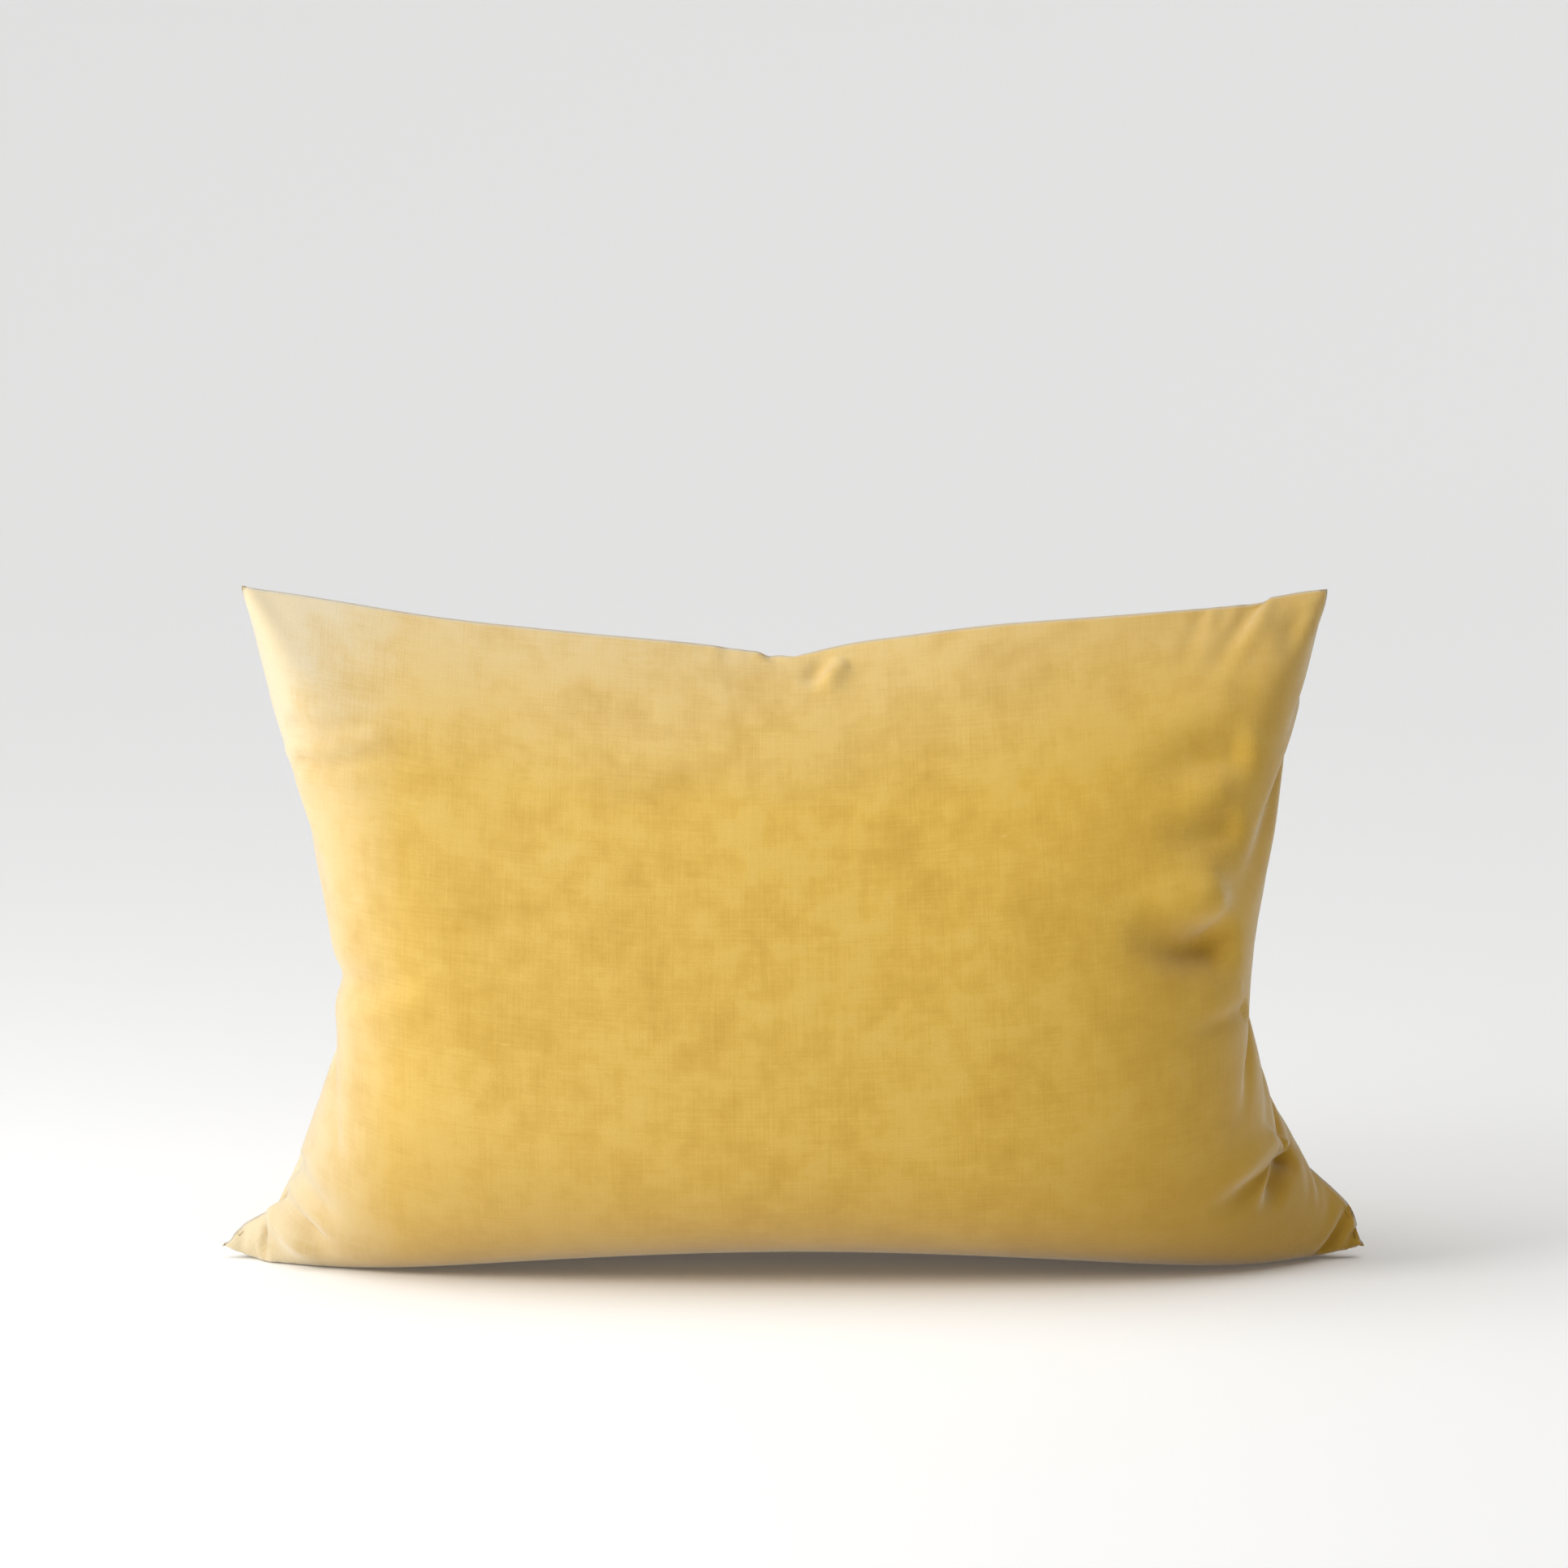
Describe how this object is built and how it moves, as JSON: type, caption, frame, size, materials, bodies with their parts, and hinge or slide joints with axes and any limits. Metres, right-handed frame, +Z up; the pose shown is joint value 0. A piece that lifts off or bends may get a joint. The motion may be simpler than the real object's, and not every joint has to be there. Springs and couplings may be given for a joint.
{
  "type": "throw pillow",
  "caption": "Rectangular knife-edge throw pillow in mustard velvet, standing on a long edge, with a zipped cover over a stuffed insert.",
  "frame": {"origin": "on the surface the pillow stands on, under the middle of its box", "axes": "+X along the pillow's length, the front faces -Y, +Z up"},
  "size_m": [0.5994, 0.2022, 0.352],
  "materials": {
    "velvet_front": "mustard-gold cotton velvet, short matt pile with a soft sheen",
    "velvet_back": "the same mustard-gold cotton velvet",
    "gold_thread": "polyester sewing thread, matched to the velvet",
    "overlock_thread": "overlocked edge in matched thread",
    "label_satin": "blank white satin ribbon",
    "zip_tape": "woven polyester tape, matched to the velvet",
    "zip_nylon": "nylon coil, matched to the velvet",
    "zip_metal": "brass with a satin finish",
    "ticking": "off-white cotton ticking",
    "white_thread": "white sewing thread",
    "wadding": "white polyester fill"
  },
  "bodies": {
    "pillow": {"cover_front_panel": "velvet_front", "cover_back_panel": "velvet_back", "cover_seam_stitching": "gold_thread", "cover_seam_overlock": "overlock_thread", "cover_care_label": "label_satin", "zip_tape_front": "zip_tape", "zip_tape_back": "zip_tape", "zip_coil_front": "zip_nylon", "zip_coil_back": "zip_nylon", "zip_stitching_front": "gold_thread", "zip_stitching_back": "gold_thread", "zip_top_stop_front": "zip_metal", "zip_top_stop_back": "zip_metal", "zip_bottom_stop": "zip_metal", "insert_front_ticking": "ticking", "insert_back_ticking": "ticking", "insert_seam_stitching": "white_thread", "insert_closing_stitch": "white_thread", "insert_label": "label_satin", "insert_fill": "wadding"},
    "slider": {"zip_slider": "zip_metal"},
    "pull_tab": {"zip_pull_tab": "zip_metal"}
  },
  "joints": [
    {"name": "zip_slide", "type": "slide", "parent": "pillow", "child": "slider", "axis": [-1, 0, 0], "range_m": [0, 0.369]},
    {"name": "pull_tab_swing", "type": "hinge", "parent": "slider", "child": "pull_tab", "pos_m": [0.1845, 0, 0.00605], "axis": [0, -1, 0], "range_deg": [-12, 156]}
  ]
}
